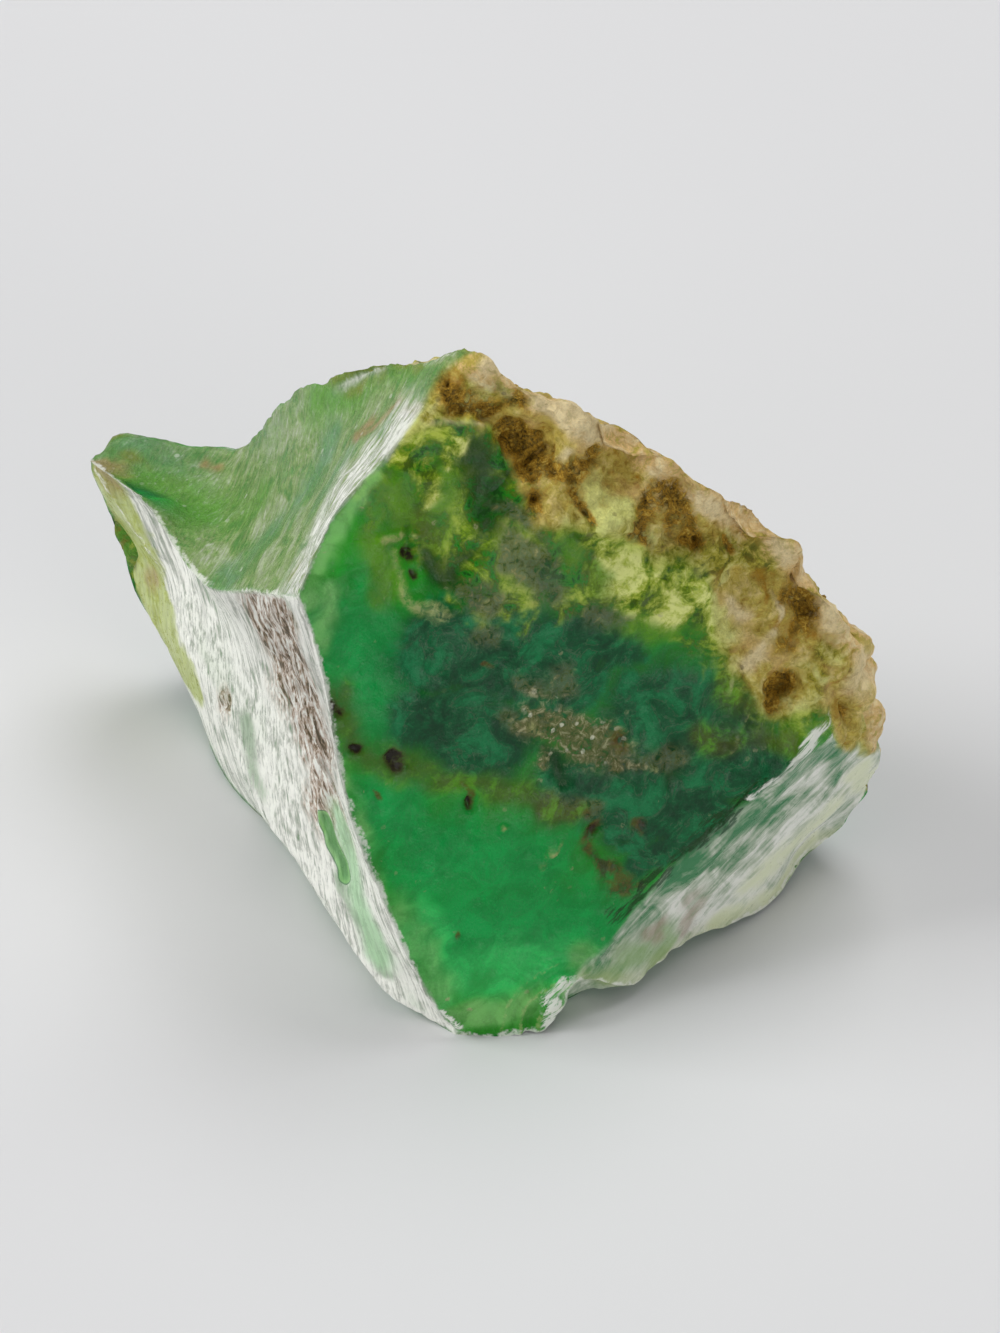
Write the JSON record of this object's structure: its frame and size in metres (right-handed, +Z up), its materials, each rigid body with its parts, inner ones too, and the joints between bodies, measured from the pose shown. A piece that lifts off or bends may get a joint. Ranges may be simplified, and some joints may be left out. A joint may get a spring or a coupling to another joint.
{
  "type": "raw chrysoprase",
  "caption": "Raw lump of green chrysoprase with broad fracture faces, a thin lip and a knobbly brown rind along its top edge; it rests on a flat patch.",
  "frame": {"origin": "middle of the footprint of the whole lump, at the height of the surface it rests on", "axes": "+X right along the longest side, +Y away from the broad front face, +Z up"},
  "size_m": [0.0534, 0.0366, 0.0429],
  "materials": {
    "chrysoprase": "translucent green chalcedony with a waxy, slightly glossy fracture surface, frosted white where it is splintered, and a matt tan to brown rind"
  },
  "bodies": {
    "root": {"stone": "chrysoprase"}
  },
  "joints": []
}
